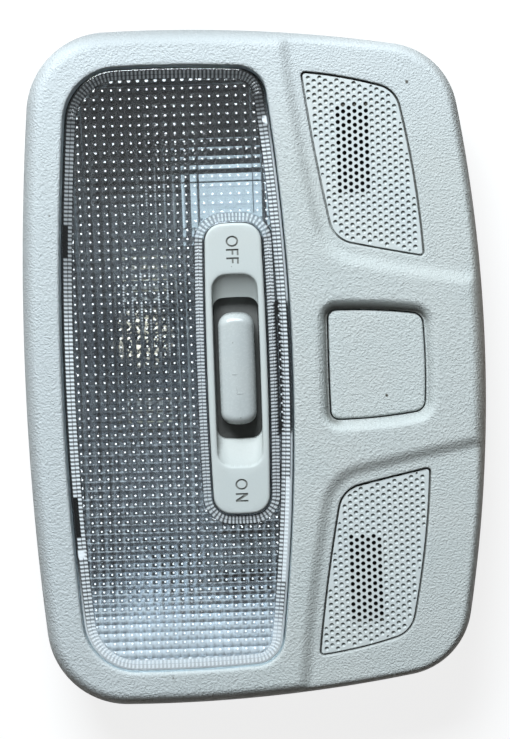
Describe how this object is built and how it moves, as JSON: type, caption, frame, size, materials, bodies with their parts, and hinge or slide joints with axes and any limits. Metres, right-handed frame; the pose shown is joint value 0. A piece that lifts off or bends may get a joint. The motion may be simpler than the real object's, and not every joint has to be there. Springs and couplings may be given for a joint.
{
  "type": "car interior light",
  "caption": "Light-grey overhead console lamp for a car, with a prismatic clear lens, a slide switch, perforated microphone grilles and a square blank cover.",
  "frame": {"origin": "middle of the bounding box on the flat back of the rear housing", "axes": "+Z out of the visible face, +Y along the long side from ON towards OFF on the switch, +X from the lens towards the microphone grilles and the connector"},
  "size_m": [0.1302, 0.1904, 0.0372],
  "materials": {
    "shell_grey": "fine pebble grain",
    "grille_grey": "satin",
    "switch_grey": "satin",
    "knob_grey": "semi-gloss",
    "lens_clear": "clear, prismatic",
    "inner_white": "satin",
    "housing_grey": "satin",
    "reflector_silver": "dull metallised",
    "bulb_clear": "clear",
    "cap_metal": "nickel plated",
    "filament": "wire",
    "tinned_brass": "tinned",
    "spring_steel": "satin",
    "connector_black": "satin"
  },
  "bodies": {
    "lamp": {"bezel": "shell_grey", "lens": "lens_clear", "switch_plate": "switch_grey", "detent_spring": "spring_steel", "switch_housing": "housing_grey", "reflector": "reflector_silver", "bulb_glass": "bulb_clear", "bulb_caps": "cap_metal", "bulb_filament": "filament", "busbar_feed": "tinned_brass", "busbar_lamp": "tinned_brass", "busbar_door": "tinned_brass", "busbar_ground": "tinned_brass", "connector_shell": "connector_black", "rear_housing": "inner_white", "mic_grille_upper": "grille_grey", "mic_grille_lower": "grille_grey", "mic_holder_upper": "connector_black", "mic_holder_lower": "connector_black", "mic_capsule_upper": "cap_metal", "mic_capsule_lower": "cap_metal", "blank_cover": "shell_grey", "retaining_clips": "spring_steel", "housing_screws": "spring_steel"},
    "knob": {"switch_knob": "knob_grey", "contact_carriage": "inner_white", "contact_bridge": "tinned_brass"}
  },
  "joints": [
    {"name": "knob_slide", "type": "slide", "parent": "lamp", "child": "knob", "axis": [0, 1, 0], "range_m": [-0.0042, 0.0042]}
  ]
}
